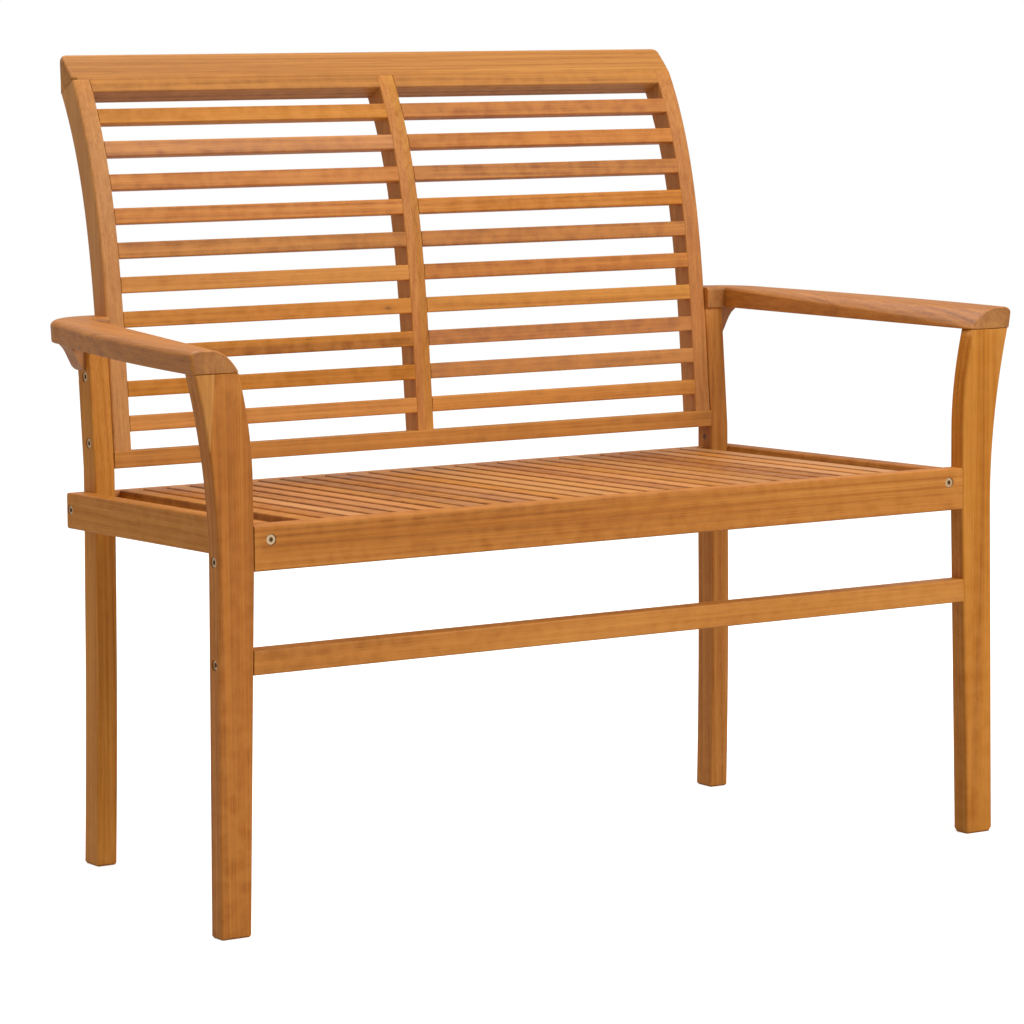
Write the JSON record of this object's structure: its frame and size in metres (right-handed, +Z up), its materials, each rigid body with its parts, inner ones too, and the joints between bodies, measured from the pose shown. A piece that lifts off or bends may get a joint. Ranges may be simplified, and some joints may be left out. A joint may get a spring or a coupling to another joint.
{
  "type": "teak garden bench",
  "caption": "Teak garden bench: slatted seat between side aprons, curled slatted back under a rolled top rail, and arms that spread outward to flared front legs.",
  "frame": {"origin": "on the ground, under the middle of the bounding box", "axes": "+X along the bench to a viewer's right, the front is towards -Y, +Z up"},
  "size_m": [1.12, 0.55, 0.94],
  "materials": {
    "teak_frame": "oiled teak, satin",
    "teak_seat": "oiled teak, satin",
    "teak_back": "oiled teak, satin",
    "teak_arm": "oiled teak, satin",
    "steel": "plated, satin"
  },
  "bodies": {
    "root": {"front_leg_left": "teak_frame", "front_leg_right": "teak_frame", "rear_leg_left": "teak_frame", "rear_leg_right": "teak_frame", "front_apron": "teak_frame", "front_stretcher": "teak_frame", "side_apron_left": "teak_frame", "side_apron_right": "teak_frame", "rear_rail": "teak_frame", "seat_ledger": "teak_seat", "seat_batten": "teak_seat", "seat_slat_01": "teak_seat", "seat_slat_02": "teak_seat", "seat_slat_03": "teak_seat", "seat_slat_04": "teak_seat", "seat_slat_05": "teak_seat", "seat_slat_06": "teak_seat", "seat_slat_07": "teak_seat", "seat_slat_08": "teak_seat", "seat_slat_09": "teak_seat", "seat_slat_10": "teak_seat", "seat_slat_11": "teak_seat", "seat_slat_12": "teak_seat", "seat_slat_13": "teak_seat", "seat_slat_14": "teak_seat", "seat_slat_15": "teak_seat", "seat_slat_16": "teak_seat", "seat_slat_17": "teak_seat", "seat_slat_18": "teak_seat", "seat_slat_19": "teak_seat", "seat_slat_20": "teak_seat", "seat_slat_21": "teak_seat", "seat_slat_22": "teak_seat", "seat_slat_23": "teak_seat", "seat_slat_24": "teak_seat", "seat_slat_25": "teak_seat", "seat_slat_26": "teak_seat", "seat_slat_27": "teak_seat", "back_stile_left": "teak_back", "back_stile_centre": "teak_back", "back_stile_right": "teak_back", "back_bottom_rail": "teak_back", "top_rail": "teak_back", "back_slats_01": "teak_back", "back_slats_02": "teak_back", "back_slats_03": "teak_back", "back_slats_04": "teak_back", "back_slats_05": "teak_back", "back_slats_06": "teak_back", "back_slats_07": "teak_back", "back_slats_08": "teak_back", "back_slats_09": "teak_back", "back_slats_10": "teak_back", "arm_left": "teak_arm", "arm_right": "teak_arm", "bracket_left": "teak_arm", "bracket_right": "teak_arm", "bolts": "steel", "barrel_nuts": "steel", "wood_screws": "steel"}
  },
  "joints": []
}
